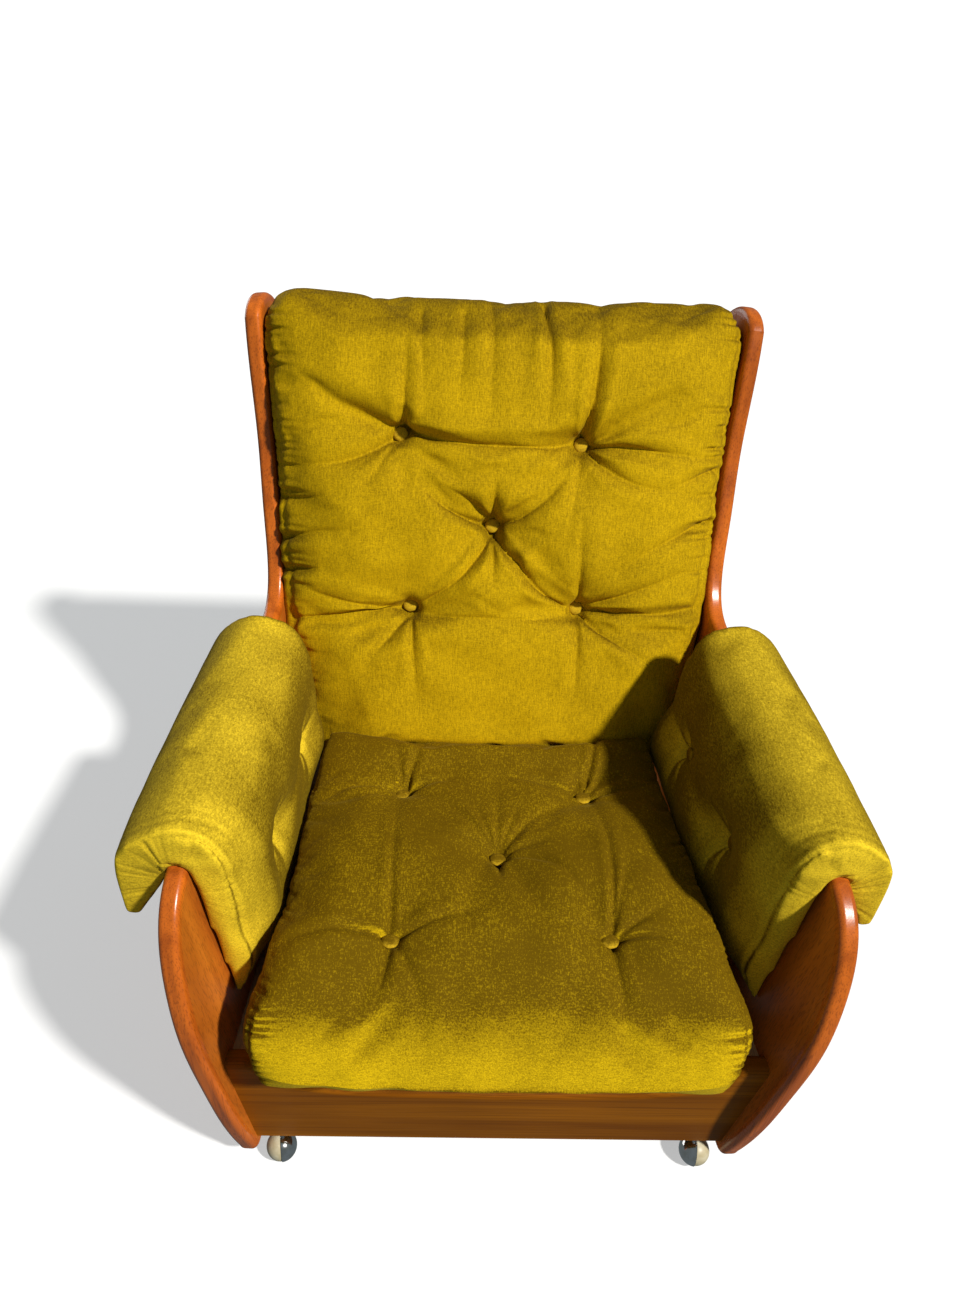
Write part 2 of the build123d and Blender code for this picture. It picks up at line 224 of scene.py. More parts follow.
def wood(name, along, pale, deep, vein, gloss, scale=1.0, shine=0.3):
    """Lacquered wood: long grain with dark pores, slow colour drift and small scuffs."""
    mat, tree, bsdf = new_material(name)
    stretch = tuple((1.2 if axis == along else 22) * scale for axis in "xyz")
    fine = tuple(4 if axis == along else 640 for axis in "xyz")
    band = noise(tree, scaled(tree, stretch), 1.0, 4, 0.6, 0.6)
    pore = noise(tree, scaled(tree, fine), 1.0, 2, 0.5)
    drift = noise(tree, scaled(tree), 3.2, 2, 0.5)
    scuff = noise(tree, scaled(tree), 38, 5, 0.65)
    middle = tuple((a + b) / 2 for a, b in zip(pale, deep))
    body = ramp(tree, band, [(0.28, deep), (0.5, middle), (0.72, pale)])
    shade = ramp(tree, drift, [(0.3, (0.72, 0.70, 0.68)), (0.7, (1.12, 1.1, 1.08))])
    body = mix_colour(tree, 0.8, body, shade, "MULTIPLY")
    dots = ramp(tree, pore, [(0.36, (1, 1, 1)), (0.47, (0, 0, 0))])
    body = mix_colour(tree, math_node(tree, "MULTIPLY", dots, 0.4), body, vein)
    tree.links.new(body, bsdf.inputs["Base Color"])
    tree.links.new(centred(tree, scuff, 0.22, gloss - 0.08), bsdf.inputs["Roughness"])
    bsdf.inputs["Specular IOR Level"].default_value = shine
    bump(tree, bsdf, pore, 0.16, 0.0004)
    return mat


def plain(name, colour, second, rough, metal=0.0, scale=60.0, bumpiness=0.15, depth=0.0005):
    """Metal or plastic of one colour with faint spots of a second."""
    mat, tree, bsdf = new_material(name)
    spots = noise(tree, scaled(tree), scale, 5, 0.6)
    tree.links.new(ramp(tree, spots, [(0.35, second), (0.65, colour)]), bsdf.inputs["Base Color"])
    tree.links.new(centred(tree, spots, 0.2, rough - 0.1), bsdf.inputs["Roughness"])
    bsdf.inputs["Metallic"].default_value = metal
    bump(tree, bsdf, spots, bumpiness, depth)
    return mat


def webbing_material(name, along):
    mat, tree, bsdf = new_material(name)
    coord = scaled(tree)
    wave = node(tree, "ShaderNodeTexWave", {"Vector": coord}, bands_direction=along)
    wave.inputs["Scale"].default_value = 160
    spots = noise(tree, coord, 500, 3, 0.6)
    both = math_node(tree, "MULTIPLY", wave.outputs["Fac"], spots)
    colour = ramp(tree, both, [(0.1, (0.02, 0.014, 0.009)), (0.7, (0.10, 0.07, 0.045))])
    tree.links.new(colour, bsdf.inputs["Base Color"])
    bsdf.inputs["Roughness"].default_value = 0.8
    bump(tree, bsdf, both, 0.5, 0.0008)
    return mat


# The same velvet on each part, with its own painted sheen and shade: weave scale, painted lit and shaded
# colours, the side the painted sheen faces, and where the painted change runs.
velvet_seat = velvet(
    "velvet_seat", (42, 9, 42), (1.0, 0.655, 0.008), (0.142, 0.08, 0.001), (0, -1, 0), 0.57, 1.05
)
velvet_back = velvet(
    "velvet_back", (40, 7, 7), (0.76, 0.47, 0.004), (0.13, 0.074, 0.001), (0, -0.98, -0.2), -0.4, 0.98,
    ease="LINEAR",
)
velvet_arm = velvet(
    "velvet_arm", (30, 12, 30), (1.0, 0.69, 0.03), (0.15, 0.092, 0.002), (0, -1, 0.56), 0.0, 1.0
)
velvet_button = velvet(
    "velvet_button", (9, 9, 9), (0.80, 0.5, 0.02), (0.16, 0.09, 0.002), (0, -0.94, 0.34), 0.1, 1.1
)

# Pale, deep and pore colours of each wood.
VENEER = (0.80, 0.225, 0.020), (0.42, 0.100, 0.008), (0.15, 0.036, 0.005)
LIPPING = (0.88, 0.205, 0.016), (0.40, 0.078, 0.007), (0.13, 0.026, 0.004)
RAIL = (0.45, 0.152, 0.005), (0.23, 0.068, 0.003), (0.10, 0.028, 0.003)
STAINED = (0.17, 0.075, 0.028), (0.08, 0.032, 0.012), (0.03, 0.012, 0.006)
BEECH = (0.72, 0.47, 0.26), (0.52, 0.31, 0.16), (0.30, 0.16, 0.08)
teak_z = wood("teak_veneer", "z", *VENEER, 0.36)
teak_lip_z = wood("teak_lip_upright", "z", *LIPPING, 0.24, 1.5, 0.5)
teak_lip_y = wood("teak_lip_level", "y", *LIPPING, 0.24, 1.5, 0.5)
teak_x = wood("teak_rail", "x", *RAIL, 0.42, 1.2, 0.08)
stained_x = wood("stained_rail", "x", *STAINED, 0.5)
beech_y = wood("beech_rail", "y", *BEECH, 0.55)
strap_x = webbing_material("webbing_cross", "X")
strap_z = webbing_material("webbing_up", "Z")
clip_steel = plain("clip_steel", (0.5, 0.5, 0.5), (0.32, 0.30, 0.28), 0.38, 1.0)
screw_steel = plain("screw_steel", (0.62, 0.55, 0.38), (0.42, 0.36, 0.25), 0.35, 1.0)
chrome = plain("castor_chrome", (0.82, 0.82, 0.84), (0.66, 0.64, 0.6), 0.14, 1.0, 90.0, 0.05, 0.0002)
ball = plain("castor_wheel", (0.76, 0.70, 0.52), (0.52, 0.44, 0.26), 0.42, 0.0, 45.0, 0.2, 0.0006)


# The first key that a node's name holds gives its material.
MATERIAL_RULES = (
    ("side_panel", teak_z), ("arm_lipping", teak_lip_y), ("base_lipping", teak_lip_y),
    ("lipping", teak_lip_z), ("front_rail", teak_x), ("rear_rail", stained_x),
    ("back_top_rail", stained_x), ("back_lower_rail", stained_x), ("seat_rail", beech_y),
    ("corner_blocks", beech_y), ("screws", screw_steel), ("seat_webbing_clips", clip_steel),
    ("seat_webbing", strap_x), ("back_webbing", strap_z), ("castor_wheel", ball),
    ("castor", chrome), ("button", velvet_button), ("seat", velvet_seat),
    ("back", velvet_back), ("arm", velvet_arm),
)


def paint(obj, material):
    obj.data.materials.clear()
    obj.data.materials.append(material)


for name, obj in nodes.items():
    paint(obj, next(material for key, material in MATERIAL_RULES if key in name))


# ------------------------------------------------------------------ soft work
MM = 0.001
FRONT_SHIFT = (0, FRONT_Y * 1000, 0)
TAPER = math.tan(math.radians(5.1))  # the side panels close in towards the back
FLARE = math.tan(math.radians(6.6))  # and lean outwards towards the top
CLOTH_FRAMES = 16
FOLD_STEPS = 14
PLUG_RADIUS = 15  # fills a button pocket of the CAD cushions
HOLD_RADIUS = 9  # cloth this near a button stays put while the cover is blown up
REST_RADIUS = 7  # a button rests on the cloth within this radius


def points_of(mesh):
    """Vertex places in chair millimetres."""
    flat = np.empty(len(mesh.vertices) * 3)
    mesh.vertices.foreach_get("co", flat)
    return flat.reshape(-1, 3) * 1000 - FRONT_SHIFT


def normals_of(mesh):
    flat = np.empty(len(mesh.vertices) * 3)
    mesh.vertices.foreach_get("normal", flat)
    return flat.reshape(-1, 3)


def put_points(mesh, points):
    mesh.vertices.foreach_set("co", ((points + FRONT_SHIFT) / 1000).ravel())
    mesh.update()


def bake(obj):
    """Replace the object's mesh by its evaluated one and drop every modifier."""
    deps = bpy.context.evaluated_depsgraph_get()
    mesh = bpy.data.meshes.new_from_object(obj.evaluated_get(deps))
    obj.modifiers.clear()
    obj.data = mesh
    return mesh


def turned_to(normal):
    """The turn that takes the z axis to normal."""
    return Vector((0, 0, 1)).rotation_difference(Vector(normal)).to_matrix().to_4x4()


def soft_copy(name, source, voxel, smoothing, plugs=(), normal=None, depth=0):
    """An evenly gridded copy of one plain CAD cushion; plugs fill its button pockets first."""
    bm = bmesh.new()
    bm.from_mesh(nodes[source].data)
    bm.transform(nodes[source].matrix_world)
    for place in plugs:
        shape = Matrix.Translation(at(*(place - normal * depth / 2))) @ turned_to(normal)
        radius = PLUG_RADIUS * MM
        bmesh.ops.create_cone(
            bm, cap_ends=True, segments=16, radius1=radius, radius2=radius, depth=depth * MM, matrix=shape
        )
    mesh = bpy.data.meshes.new(name)
    bm.to_mesh(mesh)
    bm.free()
    obj = bpy.data.objects.new(name, mesh)
    scene.collection.objects.link(obj)
    remesh = obj.modifiers.new("grid", "REMESH")
    remesh.mode = "VOXEL"
    remesh.voxel_size = voxel * MM
    remesh.use_smooth_shade = True
    relax(obj, smoothing)
    return obj


def inflate(obj, held, shrink, pressure, cap, slack):
    """Fill the cover with air against its held points, then limit how far any point went.

    The cover starts slimmer by shrink and no point moves more than cap, both in millimetres.
    """
    mesh = obj.data
    start = points_of(mesh)
    slim = start - normals_of(mesh) * shrink * (1 - held)[:, None]
    put_points(mesh, slim)
    group = obj.vertex_groups.new(name="held")
    for i in np.nonzero(held > 0.02)[0]:
        group.add([int(i)], float(held[i]), "REPLACE")
    cloth = obj.modifiers.new("cloth", "CLOTH")
    settings = cloth.settings
    settings.vertex_group_mass = "held"
    settings.quality = 5
    settings.use_pressure = True
    settings.uniform_pressure_force = pressure
    settings.shrink_min = -slack
    settings.effector_weights.gravity = 0
    settings.bending_stiffness = 0.4
    cloth.collision_settings.use_collision = False
    cloth.point_cache.frame_end = CLOTH_FRAMES
    for frame_number in range(1, CLOTH_FRAMES + 1):
        scene.frame_set(frame_number)
    mesh = bake(obj)
    scene.frame_set(1)
    moved = points_of(mesh) - start
    far = np.linalg.norm(moved, axis=1, keepdims=True)
    put_points(mesh, start + moved * np.minimum(1, cap / np.maximum(far, 1e-6)))
    obj.vertex_groups.clear()


def relax(obj, turns):
    """Smooth the mesh, on top of any modifier it has, and bake."""
    smooth = obj.modifiers.new("relax", "SMOOTH")
    smooth.iterations = turns
    smooth.factor = 0.5
    bake(obj)


def refine(obj, levels):
    """Subdivide the blown cover, so that folds and gathers can be pressed into it."""
    fine = obj.modifiers.new("fine", "SUBSURF")
    fine.levels = fine.render_levels = levels
    mesh = bake(obj)
    mesh.polygons.foreach_set("use_smooth", np.ones(len(mesh.polygons), dtype=bool))
    return mesh


def smoothstep(low, high, value):
    """0 at low, 1 at high and smooth between; low may be the larger."""
    t = np.clip((value - low) / (high - low), 0, 1)
    return t * t * (3 - 2 * t)


def bell(offset, width, power=2):
    """1 at no offset, falling to 0 past width."""
    return np.exp(-((offset / width) ** power))


def fold_line(start, bearing, length, bend):
    """A creased line from a button: bearing in degrees, bend the sideways bulge at its middle."""
    angle = math.radians(bearing)
    ahead = np.array((math.cos(angle), math.sin(angle)))
    left = np.array((-ahead[1], ahead[0]))
    t = np.linspace(0, 1, FOLD_STEPS)[:, None]
    return np.array(start) + ahead * length * t + left * bend * 4 * t * (1 - t)


def press(plan, sink, start, bearing, length, bend, depth, width, far_end=0.0):
    """Press one fold into sink: a sharp valley with a soft lip on both sides.

    sink holds the valleys and the lips, and the deepest fold wins. far_end is the share of the
    depth that is left where the fold ends.
    """
    path = fold_line(start, bearing, length, bend)
    reach = width * 6
    near = np.all((plan > path.min(0) - reach) & (plan < path.max(0) + reach), axis=1)
    spot = plan[near]
    best = np.full(len(spot), 1e9)
    along = np.zeros(len(spot))
    for i in range(len(path) - 1):
        a, step = path[i], path[i + 1] - path[i]
        t = np.clip(((spot - a) @ step) / (step @ step), 0, 1)
        gap = np.linalg.norm(spot - a - t[:, None] * step, axis=1)
        closer = gap < best
        best[closer] = gap[closer]
        along[closer] = (i + t[closer]) / (len(path) - 1)
    fade = depth * np.maximum((1 - along) ** 0.8, far_end)
    spread = width * (0.55 + 0.6 * along)
    crease = bell(best, 0.5 * spread, 1.25)
    dip = bell(best, 1.5 * spread, 1.6)
    valley = fade * (0.55 * crease + 0.5 * dip)
    lips = fade * bell(best - 2.4 * spread, 1.5 * spread)
    sink[0, near] = np.maximum(sink[0, near], valley)
    sink[1, near] = np.maximum(sink[1, near], 0.34 * lips)


def pressed(sink):
    """The joined folds: valleys, less the lips where no valley runs."""
    return sink[0] - sink[1] * np.exp(-sink[0] / 2.5)


def wander(plan, seed, pitch):
    """A slow uneven swell of loose cloth, about -1 to 1."""
    total = np.zeros(len(plan))
    for i in range(5):
        angle = seed + 2.4 * i
        run = plan[:, 0] * math.cos(angle) + plan[:, 1] * math.sin(angle)
        wave = run * 2 * math.pi / (pitch * (0.7 + 0.17 * i))
        total += np.sin(wave + 1.9 * i + seed + 0.8 * np.sin(run / pitch + i))
    return total / 3


def tuft(plan, spot, depth, narrow, wide):
    """The hollow under a button: a pit inside a broad dip."""
    away = np.linalg.norm(plan - np.array(spot), axis=1)
    return depth * (0.62 * bell(away, narrow) + 0.38 * bell(away, wide, 1.5))


def ruffle(arc, seed, pitch):
    """Uneven gathers along a seam, 0 to 1."""
    drift = 2.6 * np.sin(arc / 37 + seed) + 1.7 * np.sin(arc / 12 + 2 * seed)
    wave = np.sin(arc * 2 * math.pi / pitch + drift + seed)
    second = np.sin(arc * 2 * math.pi / (pitch * 0.43) + 2.1 * seed + 2 * np.sin(arc / 23))
    slow = 0.5 + 0.5 * np.sin(arc / 29 + 3 * seed) * np.cos(arc / 13 + seed)
    return np.clip(0.42 + 0.4 * wave + 0.26 * second, 0, 1) ** 1.6 * slow


def hold_buttons(held, plan, spots, facing):
    """Hold the cloth next to each button, on the side that faces out."""
    for spot in spots:
        away = np.linalg.norm(plan - np.array(spot), axis=1)
        held = np.maximum(held, (away < HOLD_RADIUS) & facing)
    return held


def place_on(mesh_points, mesh_normals, centre, normal):
    """The cover's point under a button, looking along the button's normal."""
    offset = mesh_points - centre
    high = offset @ normal
    side = np.linalg.norm(offset - high[:, None] * normal, axis=1)
    chosen = np.nonzero((side < REST_RADIUS) & (mesh_normals @ normal > 0.3))[0]
    chosen = chosen if len(chosen) else np.array([np.argmin(side + 0.1 * abs(high))])
    return mesh_points[chosen].mean(axis=0)


def cover_buttons(cover, name, seats, normal, body, replaced, lift, radius, height):
    """Covered buttons: low domes with a rolled rim and faint gathers, set lift above the cloth."""
    points, normals = points_of(cover.data), normals_of(cover.data)
    bm = bmesh.new()
    rings, spokes = 9, 28
    rolled_under = math.radians(128)
    for seat in seats:
        place = place_on(points, normals, seat, normal) + normal * lift
        shape = Matrix.Translation(at(*place)) @ turned_to(normal)
        rows = []
        for i in range(rings):
            turn = (i / (rings - 1)) * rolled_under
            r = radius * math.sin(turn) ** 0.8 if i else 0
            z = height * (0.55 + 0.75 * math.cos(turn))
            row = []
            for k in range(spokes if i else 1):
                a = 2 * math.pi * k / spokes
                wrinkle = 1 + 0.03 * math.sin(7 * a + 1.3) * (i / rings)
                flat = r * wrinkle * MM
                corner = Vector((flat * math.cos(a), flat * math.sin(a), z * MM))
                row.append(bm.verts.new(shape @ corner))
            rows.append(row)
        for k in range(spokes):
            bm.faces.new((rows[0][0], rows[1][k], rows[1][(k + 1) % spokes]))
            for i in range(1, rings - 1):
                j = (k + 1) % spokes
                bm.faces.new((rows[i][k], rows[i + 1][k], rows[i + 1][j], rows[i][j]))
        bm.faces.new(list(reversed(rows[-1])))
    bmesh.ops.recalc_face_normals(bm, faces=bm.faces)
    mesh = bpy.data.meshes.new(name)
    bm.to_mesh(mesh)
    bm.free()
    mesh.polygons.foreach_set("use_smooth", np.ones(len(mesh.polygons), dtype=bool))
    mesh.materials.append(velvet_button)
    obj = bpy.data.objects.new(name, mesh)
    scene.collection.objects.link(obj)
    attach(obj, body)
    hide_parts(replaced)


def dress(obj, material, body, replaced):
    """Finish one cover: its cloth, the body it rides on, the CAD cushion it stands for."""
    paint(obj, material)
    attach(obj, body)
    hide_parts(replaced)


# ------------------------------------------------------------------ seat cushion
CUSHION_VOXEL = 10
SEAT_TILT = math.radians(9.2)
SEAT_UP = np.array((0.0, math.sin(SEAT_TILT), math.cos(SEAT_TILT)))
SEAT_MIDDLE_Y, SEAT_MIDDLE_Z = 221, 361
SEAT_HALF = 293  # half the CAD cushion's width at its front
# Where the buttons sit, as front or rear and left or right, in x and y.
SEAT_BUTTONS = {"FL": (-134, 78), "FR": (126, 80), "C": (-2, 212), "RL": (-128, 344), "RR": (128, 342)}
CAD_SEAT_TUFTS = ((-134, 88), (134, 88), (0, 221), (-134, 354), (134, 354))
POCKET_DEPTH, SEAT_PLUG = 25, 34
# The loose seat sits a little to the left of the middle.
SEAT_SPREAD, SEAT_SHIFT = 0.985, -6.0
# The front rolls down from this far back, by this much at its edge.
NOSE_START, NOSE_DROP = 115.0, 18.0
SEAT_FOLD_SPREAD = 0.85
# Button, bearing, length, sideways bulge, depth, width of each fold.
SEAT_FOLDS = (
    ("FL", 185, 136, -14, 9, 7), ("FL", 18, 122, 3, 6, 7), ("FL", 90, 246, 2, 4.5, 6),
    ("FL", 260, 92, 0, 6, 8), ("FL", 292, 128, 8, 3.5, 10), ("FR", 164, 104, 0, 4, 7),
    ("FR", -14, 124, 16, 9, 7), ("FR", 32, 84, 0, 6, 6), ("FR", 88, 250, -10, 7, 6),
    ("FR", 73, 126, 0, 5, 7), ("FR", 276, 100, 0, 6, 8), ("C", 159, 98, -10, 6, 6),
    ("C", -39, 134, 26, 6, 6), ("C", 14, 88, 4, 4.5, 6), ("C", 272, 48, 0, 8, 5),
    ("C", 88, 134, 0, 4, 7), ("C", 48, 142, 6, 4, 7), ("C", 126, 146, -4, 4, 7), ("C", 70, 92, 0, 5, 5),
    ("C", 108, 96, 0, 5, 5), ("RL", 14, 76, 4, 8, 6), ("RL", 193, 120, -22, 6, 7),
    ("RL", 99, 104, 0, 4, 7), ("RL", 75, 128, 0, 6, 7), ("RL", 125, 66, 0, 4, 7),
    ("RR", 9, 80, 3, 8, 6), ("RR", 171, 156, -10, 6, 7), ("RR", 77, 146, 0, 9, 5.5),
    ("RR", 53, 80, 0, 5, 7),
)


def seat_place(x, y):
    """The place at (x, y) on the tilted seat."""
    return np.array((x, y, SEAT_MIDDLE_Z + (SEAT_MIDDLE_Y - y) * math.tan(SEAT_TILT)))


def make_seat():
    plugs = [seat_place(x, y) + (0, 0, POCKET_DEPTH) for x, y in CAD_SEAT_TUFTS]
    obj = soft_copy("seat_cover", "seat_cushion", CUSHION_VOXEL, 6, plugs, SEAT_UP, SEAT_PLUG)
    mesh = obj.data
    points, normals = points_of(mesh), normals_of(mesh)
    # Held: the middle of the underside, the sides and the buttons.
    inner = (np.abs(points[:, 0]) < 225) & (points[:, 1] > 60)
    held = smoothstep(0.5, 0.85, -normals[:, 2]) * inner
    held = np.maximum(held, smoothstep(0.8, 0.95, np.abs(normals[:, 0])))
    held = hold_buttons(held, points[:, :2], SEAT_BUTTONS.values(), normals[:, 2] > 0)
    inflate(obj, held.astype(float), shrink=2, pressure=3.5, cap=16, slack=0.015)
    mesh = refine(obj, levels=2)
    points, normals = points_of(mesh), normals_of(mesh)
    # Outline: a waist at mid depth, a front that rolls down and bulges at its ends, a raised rear.
    side = np.sign(points[:, 0])
    waist = np.where(side < 0, 13, 5) * bell(points[:, 1] - 170, 105)
    nose = smoothstep(95, 20, points[:, 1])
    drop = np.clip((NOSE_START - points[:, 1]) / NOSE_START, 0, 1.5) ** 2
    points[:, 2] -= NOSE_DROP * drop * smoothstep(290, 350, points[:, 2])
    barrel = 7 * bell(points[:, 2] - 322, 42) - 15 * smoothstep(352, 418, points[:, 2])
    outer = smoothstep(120, 270, np.abs(points[:, 0]))
    points[:, 0] += side * outer * (nose * barrel - waist)
    points[:, 0] = points[:, 0] * SEAT_SPREAD + SEAT_SHIFT
    points[:, 2] += 16 * smoothstep(370, 465, points[:, 1]) * smoothstep(0.2, 0.7, normals[:, 2])
    # Folds and tufts on the top and the front.
    plan = points[:, :2]
    on_top = smoothstep(-0.35, 0.25, np.maximum(normals[:, 2], -normals[:, 1] * 0.9))
    folds = np.zeros((2, len(points)))
    for button, bearing, length, bend, depth, width in SEAT_FOLDS:
        press(plan, folds, SEAT_BUTTONS[button], bearing, length, bend, depth, width * SEAT_FOLD_SPREAD)
    sink = pressed(folds) + 1.3 * wander(plan, seed=0.6, pitch=74)
    for spot in SEAT_BUTTONS.values():
        sink += tuft(plan, spot, depth=17, narrow=11, wide=42)
    sink *= on_top
    # The side seams and the gathers along them, strongest round the nose.
    half = SEAT_HALF - points[:, 1] * TAPER
    edge = np.abs(points[:, 0] - SEAT_SHIFT) / SEAT_SPREAD - half
    arc = -(points[:, 1] + points[:, 2])
    seam = bell(edge + 5, 4.5)
    band = bell(edge + 14, 17) * smoothstep(-0.5, 0.1, normals[:, 2] - normals[:, 1] * 0.8)
    seed = np.where(points[:, 0] > 0, 0.4, 2.2)
    gathers = 3.6 * (1 - nose) * ruffle(arc, seed, 23) + 6.5 * nose * ruffle(arc, seed, 16)
    sink += 2.4 * seam + band * gathers
    put_points(mesh, points - normals * sink[:, None])
    body = "seat_cushion_body"
    dress(obj, velvet_seat, body, "seat_cushion")
    seats = [seat_place(x, y) for x, y in SEAT_BUTTONS.values()]
    replaced = "seat_buttons"
    cover_buttons(
        obj, "seat_covered_buttons", seats, SEAT_UP, body, replaced, lift=2.5, radius=11, height=5.5
    )


# ------------------------------------------------------------------ back cushion
RAKE = math.radians(24.3)
BACK_FOOT = np.array((0.0, 471.0, 342.0))
BACK_DEPTH = 116.0
BACK_NORMAL = np.array((0.0, -math.cos(RAKE), math.sin(RAKE)))
BACK_UP = np.array((0.0, math.sin(RAKE), math.cos(RAKE)))
BACK_PLUG = 26
BACK_STEP = 70  # where the cushion widens above the seat
# Where the buttons sit, as upper or lower and left or right, in x and up the rake.
BACK_BUTTONS = {"UL": (-144, 444), "UR": (112, 434), "C": (-10, 318), "LL": (-126, 198), "LR": (118, 200)}
CAD_BACK_TUFTS = ((-126, 419), (126, 419), (0, 298), (-126, 177), (126, 177))
# Button, bearing, length, bulge, depth, width and what is left of the depth at the end.
BACK_FOLDS = (
    ("UL", -2, 256, -6, 8, 8, 0.8), ("UL", 87, 148, -3, 5, 8, 0), ("UL", 153, 90, 0, 4, 8, 0),
    ("UL", 193, 172, 18, 6, 8, 0), ("UL", 236, 120, 0, 3, 9, 0), ("UR", 85, 184, -4, 9, 7, 0.2),
    ("UR", -4, 190, 3, 8, 7, 0.2), ("UR", 28, 60, 0, 6, 6, 0), ("UR", -16, 178, -26, 6, 8, 0.2),
    ("UR", 262, 160, 0, 3, 10, 0), ("C", 148, 132, 8, 8, 6, 0), ("C", 140, 96, -4, 5, 7, 0),
    ("C", 41, 140, -12, 6, 8, 0), ("C", 90, 78, 0, 7, 7, 0), ("C", -46, 158, -8, 10, 6, 0.7),
    ("C", 228, 158, 12, 8, 6, 0.4), ("C", 272, 82, 0, 6, 5, 0), ("LL", 187, 170, 0, 9, 6, 0.4),
    ("LL", 168, 180, 11, 6, 8, 0.2), ("LL", 275, 134, 0, 5, 6, 0), ("LL", 232, 130, 0, 5, 9, 0),
    ("LL", 0, 244, -8, 5, 14, 0.8), ("LR", 1, 176, -5, 9, 6, 0.5), ("LR", 92, 160, 0, 4, 8, 0),
    ("LR", -35, 136, 0, 8, 6, 0), ("LR", 270, 134, 0, 5, 6, 0), ("LR", 22, 192, 0, 6, 8, 0.2),
)
# Loose gathers that start away from a button: start, bearing, length, bulge, depth, width.
BACK_LOOSE = (
    ((54, 616), -88, 150, 4, 7, 7), ((-18, 620), -91, 148, 0, 4, 8), ((-58, 600), -92, 110, 0, 3, 8),
    ((-118, 600), -86, 120, 0, 3, 9), ((18, 622), -47, 56, 0, 4, 7), ((-320, 288), 12, 110, 6, 6, 7),
    ((-318, 244), 10, 70, 0, 6, 7), ((-322, 352), 8, 90, -6, 5, 8), ((306, 330), 206, 150, -8, 6, 7),
    ((310, 404), 196, 80, 0, 6, 7),
)
# The stuffed cover fills the gap to the ears and sits a little to the left.
BACK_SPREAD, BACK_SHIFT = 1.04, -1.5
# How far the face bulges, the top rolls back and the top edge reaches up.
BACK_CROWN, BACK_ROLL, BACK_REACH = 13.0, 22.0, 7.0
BACK_FOLD_GAIN, BACK_FOLD_SPREAD = 1.6, 1.2


def back_place(x, up):
    """The place at x, and up the rake from the foot, on the cushion's face."""
    return BACK_FOOT + (x, 0, 0) + BACK_UP * up


def back_plan(points):
    """x and the distance up the rake."""
    local = points - BACK_FOOT
    return np.stack((local[:, 0], local @ BACK_UP), axis=1)


def back_half(up):
    """Half the cushion's width: narrow behind the seat, then widening up the rake."""
    behind_seat = 266 + (up + 62) * 0.12
    above = 282 + np.clip(up - BACK_STEP, 0, 600) * 0.0805
    return np.where(up < BACK_STEP, behind_seat, above)


